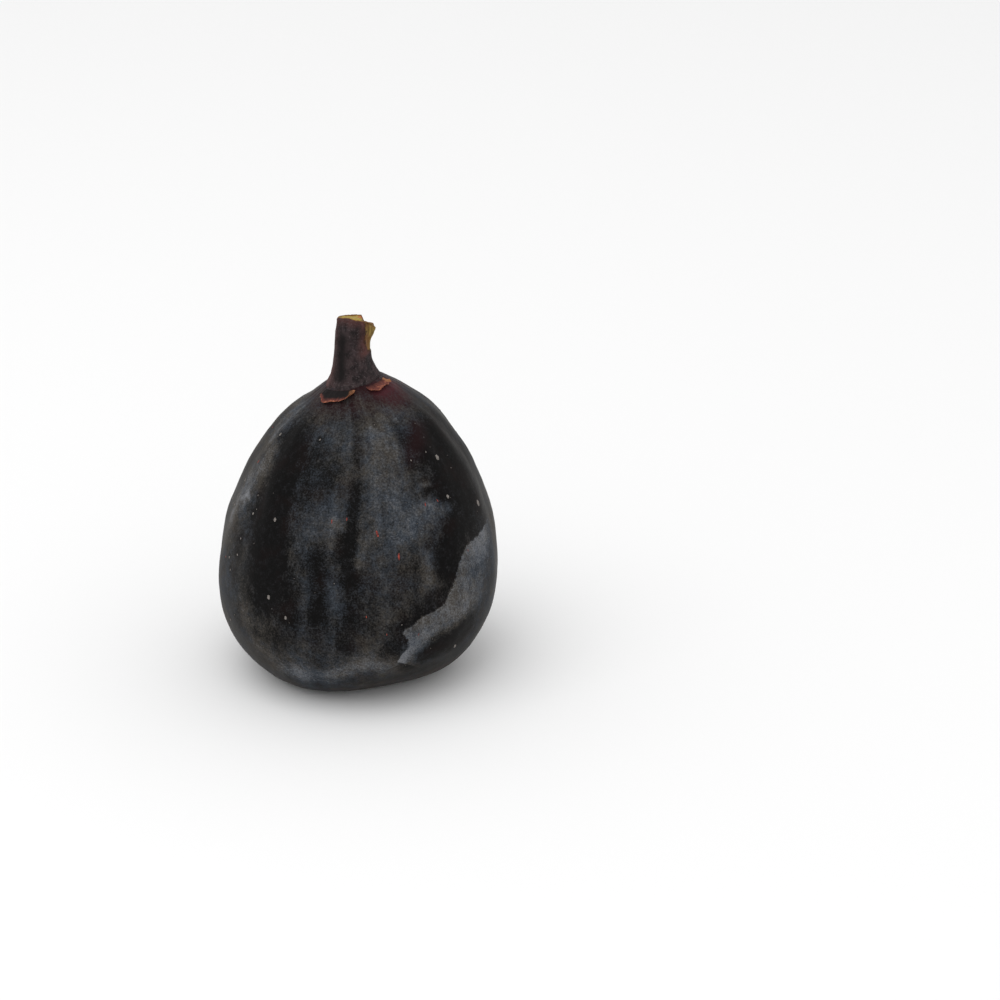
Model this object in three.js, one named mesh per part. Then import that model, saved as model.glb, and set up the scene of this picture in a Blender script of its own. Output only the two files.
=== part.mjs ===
// A fresh black fig standing on its base. Millimetres, +Z up, +X to the fig's right, front towards -Y.
// The origin is on the resting plane, in the middle of the fig's box seen from above.
import * as THREE from 'three';
import { mergeVertices } from 'three/addons/utils/BufferGeometryUtils.js';

const { degToRad, smoothstep } = THREE.MathUtils;

// Driving dimensions.
const BODY_RADIUS = 26.9;
const BODY_HEIGHT = 58.2;
const NECK_RADIUS = 5.2;
const NECK_TILT = 0.16; // rise of the neck to the right, per millimetre across
const REST_RADIUS = 12;
const STALK_LENGTH = 12;
const BRACT_THICKNESS = 0.7;
const SCALE_COUNT = 5;
const GAP = 0.3;

// The eye: a shallow dish in the middle of the base.
const EYE_RADIUS = 5.2;
const EYE_DEPTH = 2.3;
const SCALE_THICKNESS = 0.6;
const SCALE_HEIGHT = 0.6;
const SCALE_LENGTH = 3.5;

// Where the body's axis stands, so that the origin is in the middle of the box.
const AXIS_X = 0.29;
const AXIS_Y = 0.57;

// Facets round each turned shape, and steps along its outline.
const BODY_SIDES = 72;
const BODY_STEPS = 30;
const STALK_SIDES = 36;
const STALK_STEPS = 12;
const BRACT_STEPS = 9;

// The skin's outline from the resting ring, over the widest girth, up to the neck: radius, height.
const SKIN = new THREE.SplineCurve([
  new THREE.Vector2(REST_RADIUS, 0),
  new THREE.Vector2(0.635 * BODY_RADIUS, 0.014 * BODY_HEIGHT),
  new THREE.Vector2(0.796 * BODY_RADIUS, 0.072 * BODY_HEIGHT),
  new THREE.Vector2(0.954 * BODY_RADIUS, 0.198 * BODY_HEIGHT),
  new THREE.Vector2(BODY_RADIUS, 0.344 * BODY_HEIGHT),
  new THREE.Vector2(0.944 * BODY_RADIUS, 0.533 * BODY_HEIGHT),
  new THREE.Vector2(0.788 * BODY_RADIUS, 0.713 * BODY_HEIGHT),
  new THREE.Vector2(0.58 * BODY_RADIUS, 0.859 * BODY_HEIGHT),
  new THREE.Vector2(0.362 * BODY_RADIUS, 0.945 * BODY_HEIGHT),
  new THREE.Vector2(NECK_RADIUS, BODY_HEIGHT),
]);

// The stalk's outline from its foot on the neck to the cut end: radius, height above the foot.
const STALK = new THREE.SplineCurve([
  new THREE.Vector2(NECK_RADIUS - GAP, 0),
  new THREE.Vector2(4.25, 0.12 * STALK_LENGTH),
  new THREE.Vector2(3.65, 0.31 * STALK_LENGTH),
  new THREE.Vector2(3.45, 0.6 * STALK_LENGTH),
  new THREE.Vector2(3.35, STALK_LENGTH),
]);

// A smooth swelling round one azimuth (all in degrees): 1 in its middle, falling off over its spread.
function swelling(azimuth, middle, spread) {
  const turned = THREE.MathUtils.euclideanModulo(azimuth - middle + 180, 360) - 180;
  return Math.exp(-((turned / spread) ** 2));
}

// The body's axis leans a little to the right, and comes back to the left at the neck.
function leanAt(height) {
  return 0.67 * (height / 25 - 1) - 1.5 * smoothstep(height, 52, 58);
}

// The point of the grown, lopsided body for a point of the even, turned one.
function grown(azimuth, radius, height) {
  const heavyFront = 0.08 * swelling(azimuth, -107, 65) * Math.exp(-((height / 25) ** 2));
  const raisedHeel = 2 * swelling(azimuth, -70, 30) * Math.exp(-((height / 9) ** 2));
  const wide = radius * (1 + heavyFront * smoothstep(radius, EYE_RADIUS, REST_RADIUS));
  const across = wide * Math.cos(degToRad(azimuth));
  const rise = raisedHeel * smoothstep(radius, REST_RADIUS, 20);
  const tilt = NECK_TILT * across * smoothstep(height, 52, BODY_HEIGHT);
  return new THREE.Vector3(
    AXIS_X + leanAt(height) + across,
    AXIS_Y + wide * Math.sin(degToRad(azimuth)),
    height + rise + tilt,
  );
}

// A closed body turned from an outline, with each of its points moved by place(azimuth, radius, height).
function turnedBody(outline, sides, place) {
  const lathe = new THREE.LatheGeometry(outline, sides).rotateX(Math.PI / 2);
  lathe.deleteAttribute('normal');
  lathe.deleteAttribute('uv');
  const body = mergeVertices(lathe);
  const points = body.getAttribute('position');
  for (let i = 0; i < points.count; i += 1) {
    const [x, y] = [points.getX(i), points.getY(i)];
    const moved = place(THREE.MathUtils.radToDeg(Math.atan2(y, x)), Math.hypot(x, y), points.getZ(i));
    points.setXYZ(i, moved.x, moved.y, moved.z);
  }
  body.computeVertexNormals();
  return body;
}

// A thin closed plate: lower(u, v) and upper(u, v) give its two faces for u and v from 0 to 1.
function plate(steps, lower, upper) {
  const rows = steps + 1;
  const corners = [];
  for (const face of [lower, upper]) {
    for (let i = 0; i < rows * rows; i += 1) {
      corners.push(face((i % rows) / steps, Math.floor(i / rows) / steps));
    }
  }
  const faces = [];
  const square = (a, b, c, d) => faces.push(a, c, b, a, d, c);
  const top = rows * rows;
  for (let v = 0; v < steps; v += 1) {
    for (let u = 0; u < steps; u += 1) {
      const at = v * rows + u;
      square(at, at + rows, at + rows + 1, at + 1);
      square(top + at, top + at + 1, top + at + rows + 1, top + at + rows);
    }
    const [left, right, back] = [v * rows, v * rows + steps, steps * rows + v];
    square(v, v + 1, top + v + 1, top + v);
    square(back + 1, back, top + back, top + back + 1);
    square(left + rows, left, top + left, top + left + rows);
    square(right, right + rows, top + right + rows, top + right);
  }
  const body = new THREE.BufferGeometry().setFromPoints(corners);
  body.setIndex(faces);
  body.computeVertexNormals();
  return body;
}

function fruitGeometry() {
  const outline = [
    new THREE.Vector2(0, EYE_DEPTH),
    new THREE.Vector2(0.6 * EYE_RADIUS, 0.9 * EYE_DEPTH),
    new THREE.Vector2(0.87 * EYE_RADIUS, 0.55 * EYE_DEPTH),
    new THREE.Vector2(EYE_RADIUS, 0),
    ...SKIN.getPoints(BODY_STEPS),
    new THREE.Vector2(0, BODY_HEIGHT),
  ];
  return turnedBody(outline, BODY_SIDES, grown);
}

// The stalk's foot tilts with the neck. It bows to the left, its cut end slopes down to the back, and a torn
// nub stands out on the right.
function stalkGeometry() {
  const outline = [
    new THREE.Vector2(0, 0),
    ...STALK.getPoints(STALK_STEPS),
    new THREE.Vector2(0, STALK_LENGTH),
  ];
  return turnedBody(outline, STALK_SIDES, (azimuth, radius, height) => {
    const along = height / STALK_LENGTH;
    const nub = 0.75 * swelling(azimuth, 0, 32) * smoothstep(along, 0.72, 0.92) * (radius / NECK_RADIUS);
    const x = (radius + nub) * Math.cos(degToRad(azimuth));
    const y = (radius + nub) * Math.sin(degToRad(azimuth));
    const bow = 0.35 * along - 0.25 * Math.sin(Math.PI * along);
    const foot = NECK_TILT * x * (1 - smoothstep(along, 0, 0.6));
    const slope = smoothstep(along, 0.5, 1) * (0.265 * y + 1.1 * nub);
    return new THREE.Vector3(x + bow, y, height + foot - slope);
  });
}

// A basal bract lies on the shoulder below the stalk: broad at its root, narrower and curled up at its tip.
function bractGeometry(middle, halfWidth, curl) {
  const [rootAlong, tipAlong] = [0.975, 0.9];
  const tinyAngle = 0.5;
  const onSkin = (azimuth, along) => {
    const point = SKIN.getPoint(along);
    return grown(azimuth, point.x, point.y);
  };
  const face = (lift) => (u, v) => {
    const azimuth = middle + (2 * u - 1) * halfWidth * (1 - 0.8 * v ** 2);
    const along = THREE.MathUtils.lerp(rootAlong, tipAlong, v);
    const here = onSkin(azimuth, along);
    const sideways = onSkin(azimuth + tinyAngle, along).sub(here);
    const upwards = onSkin(azimuth, along + 0.002).sub(here);
    return here.addScaledVector(sideways.cross(upwards).normalize(), lift + curl * v ** 2);
  };
  return plate(BRACT_STEPS, face(GAP), face(GAP + BRACT_THICKNESS));
}

// One scale of the eye: a flat wedge whose point is at the middle of the dish.
function scaleGeometry() {
  const halfAngle = Math.PI / SCALE_COUNT;
  const tip = GAP / 2 / Math.sin(halfAngle) + 0.1;
  const outline = new THREE.Shape();
  outline.moveTo(tip, 0);
  outline.lineTo(tip + SCALE_LENGTH * Math.cos(halfAngle), -SCALE_LENGTH * Math.sin(halfAngle));
  outline.absarc(tip, 0, SCALE_LENGTH, -halfAngle, halfAngle);
  const settings = { depth: SCALE_THICKNESS, bevelEnabled: false, curveSegments: 8 };
  return new THREE.ExtrudeGeometry(outline, settings);
}

const skinMaterial = new THREE.MeshStandardMaterial({ color: 0x2b2b2d, roughness: 0.55, metalness: 0 });
const stalkMaterial = new THREE.MeshStandardMaterial({ color: 0x3b302d, roughness: 0.7, metalness: 0 });
const bractMaterial = new THREE.MeshStandardMaterial({ color: 0x5a2f29, roughness: 0.75, metalness: 0 });
const scaleMaterial = new THREE.MeshStandardMaterial({ color: 0x6e4038, roughness: 0.7, metalness: 0 });

function piece(name, geometry, material) {
  const mesh = new THREE.Mesh(geometry, material);
  mesh.name = name;
  return mesh;
}

function bracts() {
  const group = new THREE.Group();
  const places = [
    { name: 'bract_front_left', middle: -122, halfWidth: 30, curl: 0.3 },
    { name: 'bract_right', middle: -38, halfWidth: 32, curl: 0.8 },
    { name: 'bract_back', middle: 78, halfWidth: 32, curl: 0.5 },
  ];
  for (const { name, middle, halfWidth, curl } of places) {
    group.add(piece(name, bractGeometry(middle, halfWidth, curl), bractMaterial));
  }
  return group;
}

function eyeScales() {
  const group = new THREE.Group();
  group.position.set(AXIS_X + leanAt(0), AXIS_Y, SCALE_HEIGHT);
  for (let i = 0; i < SCALE_COUNT; i += 1) {
    const scale = piece(`eye_scale_${i + 1}`, scaleGeometry(), scaleMaterial);
    scale.rotation.z = (2 * Math.PI * i) / SCALE_COUNT;
    group.add(scale);
  }
  return group;
}

const stalk = piece('stalk', stalkGeometry(), stalkMaterial);
stalk.position.set(AXIS_X + leanAt(BODY_HEIGHT), AXIS_Y, BODY_HEIGHT + GAP);

const fig = new THREE.Group();
fig.add(piece('fruit', fruitGeometry(), skinMaterial), stalk, bracts(), eyeScales());

export default fig;
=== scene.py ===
"""A fresh black fig standing on its base: skin with bloom, cut stalk, torn bracts and the scaled eye beneath.

Shapes are worked out in millimetres in the part's own frame and scaled to metres as each mesh is made.
Azimuths are in degrees round the vertical axis: 0 is the fig's right (+X) and -90 is its front (-Y).
"""

import math

import bpy
import numpy as np
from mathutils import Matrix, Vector, noise


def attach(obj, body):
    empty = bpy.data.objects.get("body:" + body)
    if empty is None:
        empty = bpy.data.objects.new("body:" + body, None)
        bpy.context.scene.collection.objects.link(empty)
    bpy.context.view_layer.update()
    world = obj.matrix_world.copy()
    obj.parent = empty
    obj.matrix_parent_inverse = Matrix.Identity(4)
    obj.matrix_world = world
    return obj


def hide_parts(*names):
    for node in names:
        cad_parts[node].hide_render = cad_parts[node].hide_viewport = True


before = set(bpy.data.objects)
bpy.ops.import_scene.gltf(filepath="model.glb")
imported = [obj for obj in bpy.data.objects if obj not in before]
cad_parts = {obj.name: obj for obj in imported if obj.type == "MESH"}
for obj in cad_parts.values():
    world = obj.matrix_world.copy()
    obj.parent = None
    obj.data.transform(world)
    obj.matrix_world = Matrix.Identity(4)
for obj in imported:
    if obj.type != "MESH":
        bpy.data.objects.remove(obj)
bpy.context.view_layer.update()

MM = 0.001
SEED = 7

# The body, as the CAD part has it.
BODY_RADIUS = 26.9
BODY_HEIGHT = 58.2
NECK_RADIUS = 5.2
NECK_TILT = 0.16
REST_RADIUS = 12.0
EYE_RADIUS = 5.2
EYE_DEPTH = 2.3
AXIS_X = 0.29
AXIS_Y = 0.57
GAP = 0.3

STALK_LENGTH = 12.0
STALK_FOOT = BODY_HEIGHT + GAP

# Outlines of radius and height: the skin from the resting ring to the neck, and the dish of the eye.
SKIN_OUTLINE = [
    (REST_RADIUS, 0.0),
    (0.635 * BODY_RADIUS, 0.014 * BODY_HEIGHT),
    (0.796 * BODY_RADIUS, 0.072 * BODY_HEIGHT),
    (0.954 * BODY_RADIUS, 0.198 * BODY_HEIGHT),
    (BODY_RADIUS, 0.344 * BODY_HEIGHT),
    (0.944 * BODY_RADIUS, 0.533 * BODY_HEIGHT),
    (0.788 * BODY_RADIUS, 0.713 * BODY_HEIGHT),
    (0.58 * BODY_RADIUS, 0.859 * BODY_HEIGHT),
    (0.362 * BODY_RADIUS, 0.945 * BODY_HEIGHT),
    (NECK_RADIUS, BODY_HEIGHT),
]
EYE_OUTLINE = [
    (0.0, EYE_DEPTH),
    (0.6 * EYE_RADIUS, 0.9 * EYE_DEPTH),
    (0.87 * EYE_RADIUS, 0.55 * EYE_DEPTH),
    (EYE_RADIUS, 0.0),
]


# ---- plain mathematics ----

def smooth(value, low, high):
    """Smooth step from 0 at low to 1 at high."""
    part = np.clip((np.asarray(value, float) - low) / (high - low), 0.0, 1.0)
    return part * part * (3.0 - 2.0 * part)


def swelling(azimuth, middle, spread):
    """1 at the middle azimuth, falling off smoothly over the spread."""
    turned = (np.asarray(azimuth, float) - middle + 180.0) % 360.0 - 180.0
    return np.exp(-((turned / spread) ** 2))


def travelled(curve):
    """The length of a curve up to each of its points."""
    return np.concatenate([[0.0], np.cumsum(np.linalg.norm(np.diff(curve, axis=0), axis=1))])


def spline(points, count):
    """count points along the smooth curve through the given ones, spaced evenly by length."""
    points = np.asarray(points, float)
    last = len(points) - 1
    along = np.linspace(0.0, last, 60 * last + 1)
    start = np.minimum(along.astype(int), last - 1)
    part = (along - start)[:, None]
    before, here = points[np.maximum(start - 1, 0)], points[start]
    there, after = points[start + 1], points[np.minimum(start + 2, last)]
    leave, arrive = (there - before) / 2, (after - here) / 2
    curve = ((2 * here - 2 * there + leave + arrive) * part ** 3
             + (3 * there - 3 * here - 2 * leave - arrive) * part ** 2 + leave * part + here)
    length = travelled(curve)
    even = np.linspace(0.0, length[-1], count)
    return np.column_stack([np.interp(even, length, curve[:, k]) for k in range(points.shape[1])])


def noise_at(points, wavelength, octaves=1, offset=0.0):
    """Smooth noise from about -1 to 1 at each point, with bumps of about the given wavelength.

    The offset picks another stretch of the same noise.
    """
    scaled = np.asarray(points).reshape(-1, 3) / wavelength + offset
    values = [noise.fractal(Vector(p), 0.6, 2.1, octaves) for p in scaled]
    return np.array(values).reshape(np.shape(points)[:-1])


# ---- the shape of the body ----

# The skin's outline in steps fine enough to look heights and radii up in.
OUTLINE = spline(SKIN_OUTLINE, 400)
RIB_COUNT = 15
RIB_PHASE = 90.0
PLEAT_COUNT = 34.0


def lean_at(height):
    """How far the body's axis has moved to the right at a height."""
    return 0.67 * (height / 25.0 - 1.0) - 1.5 * smooth(height, 52.0, 58.0)


def grown(azimuth, radius, height):
    """The point of the lopsided body for a point of the even, turned one."""
    heavy_front = 0.08 * swelling(azimuth, -107, 65) * np.exp(-((height / 25.0) ** 2))
    raised_heel = 2.0 * swelling(azimuth, -70, 30) * np.exp(-((height / 9.0) ** 2))
    wide = radius * (1.0 + heavy_front * smooth(radius, EYE_RADIUS, REST_RADIUS))
    across = wide * np.cos(np.radians(azimuth))
    rise = raised_heel * smooth(radius, REST_RADIUS, 20.0)
    tilt = NECK_TILT * across * smooth(height, 52.0, BODY_HEIGHT)
    x = AXIS_X + lean_at(height) + across
    y = AXIS_Y + wide * np.sin(np.radians(azimuth))
    return np.stack([x, y, height + rise + tilt], axis=-1)


def skin_point(azimuth, height):
    """The point on the even skin at an azimuth and a height."""
    azimuth, height = np.broadcast_arrays(np.asarray(azimuth, float), np.asarray(height, float))
    return grown(azimuth, np.interp(height, OUTLINE[:, 1], OUTLINE[:, 0]), height)


def skin_frame(azimuth, height):
    """A point on the skin with its outward, sideways and upward directions."""
    tiny_angle, tiny_rise = 0.5, 0.1
    here = skin_point(azimuth, height)
    sideways = skin_point(azimuth + tiny_angle, height) - here
    upwards = skin_point(azimuth, height + tiny_rise) - here
    sideways /= np.linalg.norm(sideways)
    upwards /= np.linalg.norm(upwards)
    outwards = np.cross(sideways, upwards)
    return here, outwards / np.linalg.norm(outwards), sideways, upwards


def skin_relief(points, azimuth, height):
    """How far the skin stands off the even one: lumps, long shallow ribs, pleats at the neck, fine grain."""
    points = np.asarray(points, float)
    lumps = 0.30 * noise_at(points, 17.0, 2, 3.1) + 0.08 * noise_at(points, 6.0, 2, 8.4)
    wander = 7.0 * noise_at(points * (1.0, 1.0, 0.35), 14.0, 1, 5.7)
    rib = np.cos(np.radians(RIB_COUNT * (azimuth + RIB_PHASE + wander)))
    ribs = 0.12 * rib * smooth(height, 10.0, 30.0) * (1.0 - 0.8 * smooth(height, 48.0, 56.0))
    pleat = np.cos(np.radians(PLEAT_COUNT * azimuth + 60.0 * noise_at(points, 5.0, 1, 1.3)))
    pleats = 0.02 * pleat * smooth(height, 53.5, 57.0)
    grain = 0.022 * noise_at(points, 1.5, 2, 2.2)
    return (lumps + ribs + pleats + grain) * smooth(height, 0.2, 3.0)


# ---- meshes ----

def turned_grid(outline, sides):
    """Azimuth, radius and height over a grid: a row for each point of the outline, a column for each side."""
    around = np.linspace(-180.0, 180.0, sides, endpoint=False)
    return np.broadcast_arrays(around, outline[:, :1], outline[:, 1:])


def grid_faces(rows, columns, closed):
    """Quads of a grid of rows by columns, joined round its columns if it is closed."""
    across = np.arange(columns if closed else columns - 1)
    row, column = np.meshgrid(np.arange(rows - 1), across, indexing="ij")
    following = (column + 1) % columns
    quads = np.stack([row * columns + column, row * columns + following,
                      (row + 1) * columns + following, (row + 1) * columns + column], axis=-1)
    return quads.reshape(-1, 4).tolist()


def turned_faces(rows, columns):
    """Quads of a closed grid, with one face over its first row and one over its last."""
    faces = grid_faces(rows, columns, True)
    faces.append(tuple(range(columns - 1, -1, -1)))
    faces.append(tuple((rows - 1) * columns + column for column in range(columns)))
    return faces


def grid_normals(points):
    """Outward normals of a grid of points that closes round its columns."""
    round_it = np.roll(points, -1, axis=1) - np.roll(points, 1, axis=1)
    along = np.gradient(points, axis=0)
    normals = np.cross(round_it, along)
    return normals / np.maximum(np.linalg.norm(normals, axis=-1, keepdims=True), 1e-9)


def open_grid_normals(points):
    """Outward normals of an open grid whose rows run down and whose columns run round."""
    normals = np.cross(np.gradient(points, axis=1), -np.gradient(points, axis=0))
    return normals / np.linalg.norm(normals, axis=-1, keepdims=True)


def make_piece(name, points, faces, material, fields=None):
    """A smooth-shaded mesh from points in millimetres, riding on the root body.

    The fields are numbers or vectors for its points, kept as attributes that the material reads.
    """
    mesh = bpy.data.meshes.new(name)
    mesh.from_pydata((np.asarray(points).reshape(-1, 3) * MM).tolist(), [], faces)
    for key, values in (fields or {}).items():
        values = np.asarray(values, np.float32).ravel()
        is_vector = len(values) == 3 * len(mesh.vertices)
        kind, entry = ("FLOAT_VECTOR", "vector") if is_vector else ("FLOAT", "value")
        mesh.attributes.new(key, kind, "POINT").data.foreach_set(entry, values)
    mesh.polygons.foreach_set("use_smooth", [True] * len(mesh.polygons))
    mesh.materials.append(material)
    mesh.update()
    piece = bpy.data.objects.new(name, mesh)
    bpy.context.scene.collection.objects.link(piece)
    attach(piece, "root")
    return piece


# ---- shader building ----

class Shader:
    """A material's node tree with short calls for the few kinds of node used here."""

    def __init__(self, name):
        self.material = bpy.data.materials.new(name)
        self.material.use_nodes = True
        self.tree = self.material.node_tree
        self.surface = self.tree.nodes["Principled BSDF"]

    def add(self, kind, inputs, **settings):
        """A new node with its settings and inputs."""
        node = self.tree.nodes.new(kind)
        for key, value in settings.items():
            setattr(node, key, value)
        self.feed(node, inputs)
        return node

    def feed(self, node, inputs):
        """Links or sets each input of a node, by name or number."""
        for key, value in inputs.items():
            if isinstance(value, bpy.types.NodeSocket):
                self.tree.links.new(value, node.inputs[key])
            else:
                node.inputs[key].default_value = value

    def attribute(self, name, vector=False):
        """A field that the mesh carries."""
        node = self.add("ShaderNodeAttribute", {}, attribute_name=name)
        return node.outputs["Vector" if vector else "Fac"]

    def noise(self, wavelength_mm, detail=3.0, roughness=0.55, grain=None):
        """Noise from 0 to 1 over the piece, or over a grain field that is in millimetres."""
        if grain is None:
            vector, scale = self.add("ShaderNodeTexCoord", {}).outputs["Object"], 1.0 / (wavelength_mm * MM)
        else:
            vector, scale = grain, 1.0 / wavelength_mm
        inputs = {"Vector": vector, "Scale": scale, "Detail": detail, "Roughness": roughness}
        return self.add("ShaderNodeTexNoise", inputs).outputs["Fac"]

    def math(self, operation, first, second):
        """The outcome of one operation, such as ADD or MULTIPLY, on two values."""
        return self.add("ShaderNodeMath", {0: first, 1: second}, operation=operation).outputs[0]

    def total(self, *terms):
        """The sum of (value, weight) terms."""
        whole = None
        for value, weight in terms:
            part = self.math("MULTIPLY", value, weight)
            whole = part if whole is None else self.math("ADD", whole, part)
        return whole

    def ramp(self, value, low, high, to_low=0.0, to_high=1.0):
        """A smooth step from to_low, where the value is low, to to_high, where it is high."""
        inputs = {"Value": value, "From Min": low, "From Max": high, "To Min": to_low, "To Max": to_high}
        return self.add("ShaderNodeMapRange", inputs, interpolation_type="SMOOTHSTEP").outputs["Result"]

    def mix(self, factor, first, second):
        """The first colour where the factor is 0 and the second where it is 1."""
        first, second = [c if isinstance(c, bpy.types.NodeSocket) else (*c, 1.0) for c in (first, second)]
        # The node has sockets for every kind of data; 6 and 7 take colours and output 2 gives one.
        node = self.add("ShaderNodeMix", {0: factor, 6: first, 7: second}, data_type="RGBA")
        return node.outputs[2]

    def bump(self, height, strength, distance_mm, under=None):
        """A bumpy normal, on top of another one if that is given."""
        inputs = {"Height": height, "Strength": strength, "Distance": distance_mm * MM}
        if under is not None:
            inputs["Normal"] = under
        return self.add("ShaderNodeBump", inputs).outputs["Normal"]

    def finish(self, **inputs):
        """Sets the surface's inputs, with _ for each space in their names, and gives the material."""
        names = {key.replace("_", " "): value for key, value in inputs.items()}
        names = {("Specular IOR Level" if key == "Specular" else key): value for key, value in names.items()}
        self.feed(self.surface, names)
        return self.material


# ---- materials ----

BARE_SKIN = (0.0042, 0.0040, 0.0040)
BARE_SKIN_RED = (0.0068, 0.0046, 0.0044)
BARE_SKIN_DUSTY = (0.0115, 0.0112, 0.0122)
BLOOM_BLUE = (0.042, 0.050, 0.062)
BLOOM_BROWN = (0.062, 0.055, 0.047)
BLOOM_PALE = (0.178, 0.183, 0.196)
NECK_MAROON = (0.060, 0.016, 0.020)
WARM_SHEEN = (1.0, 0.86, 0.72, 1.0)

CORK_GREY = (0.11, 0.097, 0.088)
CORK_BEIGE = (0.26, 0.237, 0.218)
SPLIT_RED = (0.10, 0.010, 0.010)
SPLIT_ORANGE = (0.33, 0.055, 0.03)

BARK_BLACK = (0.011, 0.0082, 0.0085)
BARK_BROWN = (0.040, 0.027, 0.028)
BARK_FIBRE = (0.050, 0.037, 0.038)
# Red of the bark's flush, which on the stalk's left edge is partly a painted highlight.
BARK_FLUSH_AND_HIGHLIGHT = (0.110, 0.038, 0.031)
BARK_DUST = (0.115, 0.095, 0.096)
# Painted shade: the colour of the dark band down the stalk's left front.
BARK_PAINTED_SHADE = (0.0055, 0.0042, 0.0042)
TORN_RIM = (0.030, 0.013, 0.008)
TORN_OLIVE = (0.095, 0.055, 0.012)
TORN_STRAW = (0.27, 0.190, 0.055)
TORN_RUST = (0.12, 0.045, 0.018)
TORN_FLUSH = (0.14, 0.055, 0.022)
FLESH_OLIVE = (0.22, 0.135, 0.030)
FLESH_YELLOW = (0.42, 0.33, 0.070)
FLESH_PITH = (0.33, 0.23, 0.085)
FLESH_SCARLET = (0.40, 0.095, 0.035)

BRACT_ROOT = (0.007, 0.005, 0.005)
BRACT_WINE = (0.125, 0.036, 0.028)
BRACT_TORN_EDGE = (0.33, 0.120, 0.066)
# Paler orange-brown of a bract's right end: partly dry tissue and partly a painted highlight.
BRACT_DRY_AND_HIGHLIGHT = (0.27, 0.118, 0.055)
SCALE_ROOT = (0.030, 0.014, 0.015)
SCALE_WINE = (0.13, 0.042, 0.034)
SCALE_DRY_TIP = (0.30, 0.15, 0.075)

TABLETOP = (0.86, 0.86, 0.86, 1.0)


def bloom_amount(shader, streaks, mottle, dust):
    """How much bloom lies where: the 'bloom' field broken up by noise, with a step at its torn 'edge'."""
    clouds = shader.noise(4.5, 4.0, 0.62)
    ragged = shader.total((shader.noise(1.7, 4.0, 0.7), 1.5), (dust, 0.5))
    side = shader.math("ADD", shader.attribute("edge"), shader.math("SUBTRACT", ragged, 1.0))
    beyond = shader.ramp(side, -0.22, 0.22, -1.0, 1.0)
    stepped = shader.math("MULTIPLY", beyond, shader.attribute("edge_gain"))
    amount = shader.total((shader.attribute("bloom"), 1.0), (streaks, 0.8), (clouds, 0.7), (mottle, 0.7),
                          (stepped, 1.0))
    return shader.math("SUBTRACT", amount, 1.1)


def bare_skin(shader, mottle, dust):
    """Near-black skin, reddish in patches, dusty in spots and wine-red where the 'maroon' field says."""
    bare = shader.mix(shader.ramp(shader.noise(5.0, 4.0), 0.45, 0.7), BARE_SKIN, BARE_SKIN_RED)
    haze = shader.total((mottle, 0.5), (dust, 0.5))
    bare = shader.mix(shader.ramp(haze, 0.48, 0.66), bare, BARE_SKIN_DUSTY)
    return shader.mix(shader.attribute("maroon"), bare, NECK_MAROON)


def skin_material():
    """Near-black skin under a blue-grey and brown bloom that lies on it like dust, wiped thin in places."""
    shader = Shader("fig_skin")
    streaks = shader.noise(3.2, 4.0, 0.6, shader.attribute("grain", vector=True))
    mottle = shader.noise(1.3, 4.0, 0.7)
    dust = shader.noise(0.34, 3.0, 0.8)
    amount = bloom_amount(shader, streaks, mottle, dust)
    frost = shader.ramp(shader.total((amount, 1.0), (dust, 1.7)), 0.85, 1.85)
    thick = shader.ramp(shader.total((amount, 1.0), (dust, 1.6)), 1.4, 2.5)
    hue = shader.total((shader.noise(2.4, 5.0, 0.8), 0.6), (shader.noise(11.0, 2.0, 0.5), 0.5))
    film = shader.mix(shader.ramp(hue, 0.42, 0.70), BLOOM_BLUE, BLOOM_BROWN)
    film = shader.mix(thick, film, BLOOM_PALE)
    colour = shader.mix(frost, bare_skin(shader, mottle, dust), film)
    relief = shader.bump(dust, 0.4, 0.05)
    relief = shader.bump(shader.total((streaks, 0.7), (mottle, 0.3)), 0.2, 0.2, relief)
    roughness = shader.ramp(frost, 0.0, 1.0, 0.42, 0.68)
    return shader.finish(Base_Color=colour, Roughness=roughness, Normal=relief, Specular=0.032,
                         Sheen_Weight=0.03, Sheen_Roughness=0.35, Sheen_Tint=WARM_SHEEN)


def lenticel_material():
    """Small corky spots, grey-beige with paler middles."""
    shader = Shader("lenticel")
    colour = shader.mix(shader.ramp(shader.noise(0.3), 0.35, 0.7), CORK_GREY, CORK_BEIGE)
    relief = shader.bump(shader.noise(0.12), 0.5, 0.05)
    return shader.finish(Base_Color=colour, Roughness=0.85, Normal=relief, Specular=0.2)


def speck_material():
    """Tiny splits in the skin that show red-orange flesh."""
    shader = Shader("red_speck")
    colour = shader.mix(shader.ramp(shader.noise(0.5), 0.35, 0.65), SPLIT_RED, SPLIT_ORANGE)
    return shader.finish(Base_Color=colour, Roughness=0.6, Specular=0.3)


def bark(shader, fibre, blotch, fine):
    """Dark dusty bark with brown fibres; 'flush' reddens it and 'shade' lays painted shade down its left
    front.
    """
    colour = shader.mix(shader.ramp(blotch, 0.38, 0.66), BARK_BLACK, BARK_BROWN)
    colour = shader.mix(shader.ramp(fibre, 0.48, 0.8), colour, BARK_FIBRE)
    blush = shader.math("MULTIPLY", shader.attribute("flush"), shader.ramp(blotch, 0.3, 0.6, 0.55, 1.0))
    colour = shader.mix(blush, colour, BARK_FLUSH_AND_HIGHLIGHT)
    colour = shader.mix(shader.ramp(fine, 0.52, 0.78), colour, BARK_DUST)
    return shader.mix(shader.attribute("shade"), colour, BARK_PAINTED_SHADE)


def torn_tissue(shader, fibre, blotch):
    """Olive and straw-coloured fibres with rusty blotches, redder where 'flush' says."""
    colour = shader.mix(shader.ramp(fibre, 0.35, 0.65), TORN_OLIVE, TORN_STRAW)
    colour = shader.mix(shader.ramp(blotch, 0.5, 0.7), colour, TORN_RUST)
    return shader.mix(shader.attribute("flush"), colour, TORN_FLUSH)


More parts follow.
